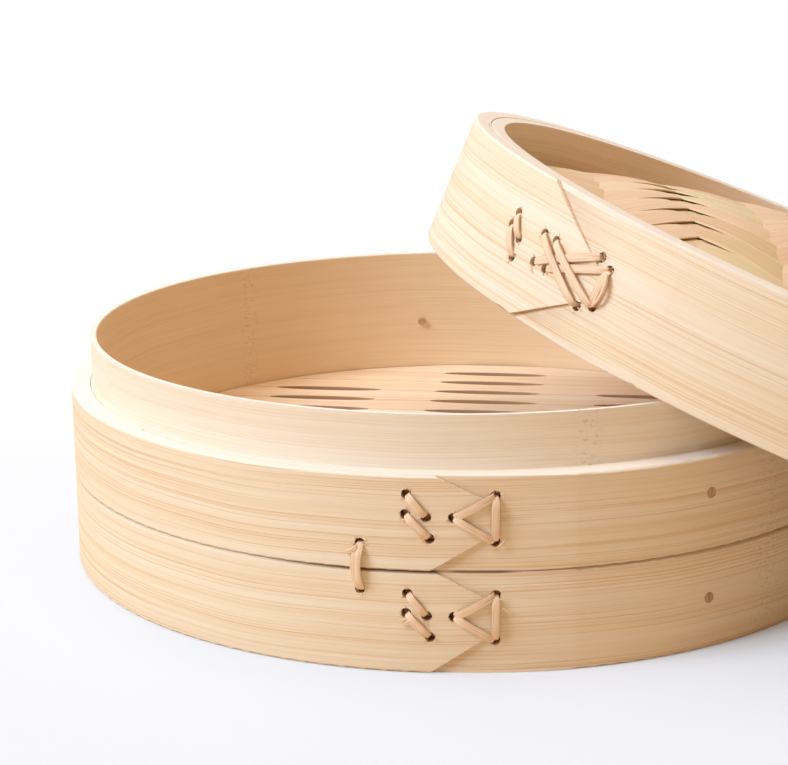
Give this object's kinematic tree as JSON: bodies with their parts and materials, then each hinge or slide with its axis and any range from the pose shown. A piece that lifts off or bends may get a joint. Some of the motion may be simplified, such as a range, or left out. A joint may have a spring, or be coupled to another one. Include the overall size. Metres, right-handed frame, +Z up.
{
  "type": "bamboo steamer basket",
  "caption": "Round bamboo steamer tier with a slatted floor and laced hoops, and its woven domed lid leaning on it.",
  "frame": {"origin": "on the tier's axis at the foot of its lower outer hoop, in the plane of the surface it stands on", "axes": "+Z up along the tier's axis through its lip, +X towards the side where the lid leans, -Y towards the laced lap of the hoops"},
  "size_m": [0.3699, 0.259, 0.1374],
  "materials": {
    "outer_bamboo": "natural split bamboo, bare",
    "inner_bamboo": "planed thin bamboo, bare",
    "floor_bamboo": "planed bamboo slats, bare",
    "woven_bamboo": "plaited bamboo strips, bare",
    "lacing_strip": "split rattan and bamboo skin strips",
    "peg_bamboo": "whittled bamboo pegs"
  },
  "bodies": {
    "basket": {"cross_batten_1": "floor_bamboo", "cross_batten_2": "floor_bamboo", "cross_batten_3": "floor_bamboo", "cross_batten_4": "floor_bamboo", "floor_slat_01": "floor_bamboo", "floor_slat_02": "floor_bamboo", "floor_slat_03": "floor_bamboo", "floor_slat_04": "floor_bamboo", "floor_slat_05": "floor_bamboo", "floor_slat_06": "floor_bamboo", "floor_slat_07": "floor_bamboo", "floor_slat_08": "floor_bamboo", "floor_slat_09": "floor_bamboo", "floor_slat_10": "floor_bamboo", "floor_slat_11": "floor_bamboo", "floor_slat_12": "floor_bamboo", "floor_slat_13": "floor_bamboo", "floor_slat_14": "floor_bamboo", "floor_slat_15": "floor_bamboo", "floor_slat_16": "floor_bamboo", "floor_slat_17": "floor_bamboo", "front_tie_lash": "lacing_strip", "inner_hoop": "inner_bamboo", "ledger_hoop": "inner_bamboo", "lower_hoop_pegs": "peg_bamboo", "lower_hoop_stitches": "lacing_strip", "lower_outer_hoop": "outer_bamboo", "lower_triangle_lacing": "lacing_strip", "rear_tie_lashes": "lacing_strip", "upper_hoop_pegs": "peg_bamboo", "upper_hoop_stitches": "lacing_strip", "upper_outer_hoop": "outer_bamboo", "upper_triangle_lacing": "lacing_strip"},
    "lid": {"dome_lining": "woven_bamboo", "dome_outer_weave": "woven_bamboo", "lid_cross_lacing": "lacing_strip", "lid_lower_inner_hoop": "inner_bamboo", "lid_lower_pegs": "peg_bamboo", "lid_outer_hoop": "outer_bamboo", "lid_stitches": "lacing_strip", "lid_upper_inner_hoop": "inner_bamboo", "lid_upper_pegs": "peg_bamboo"}
  },
  "joints": [
    {"name": "lid_lift", "type": "slide", "parent": "basket", "child": "lid", "axis": [0, 0, 1], "range_m": [0, 0.13]}
  ]
}
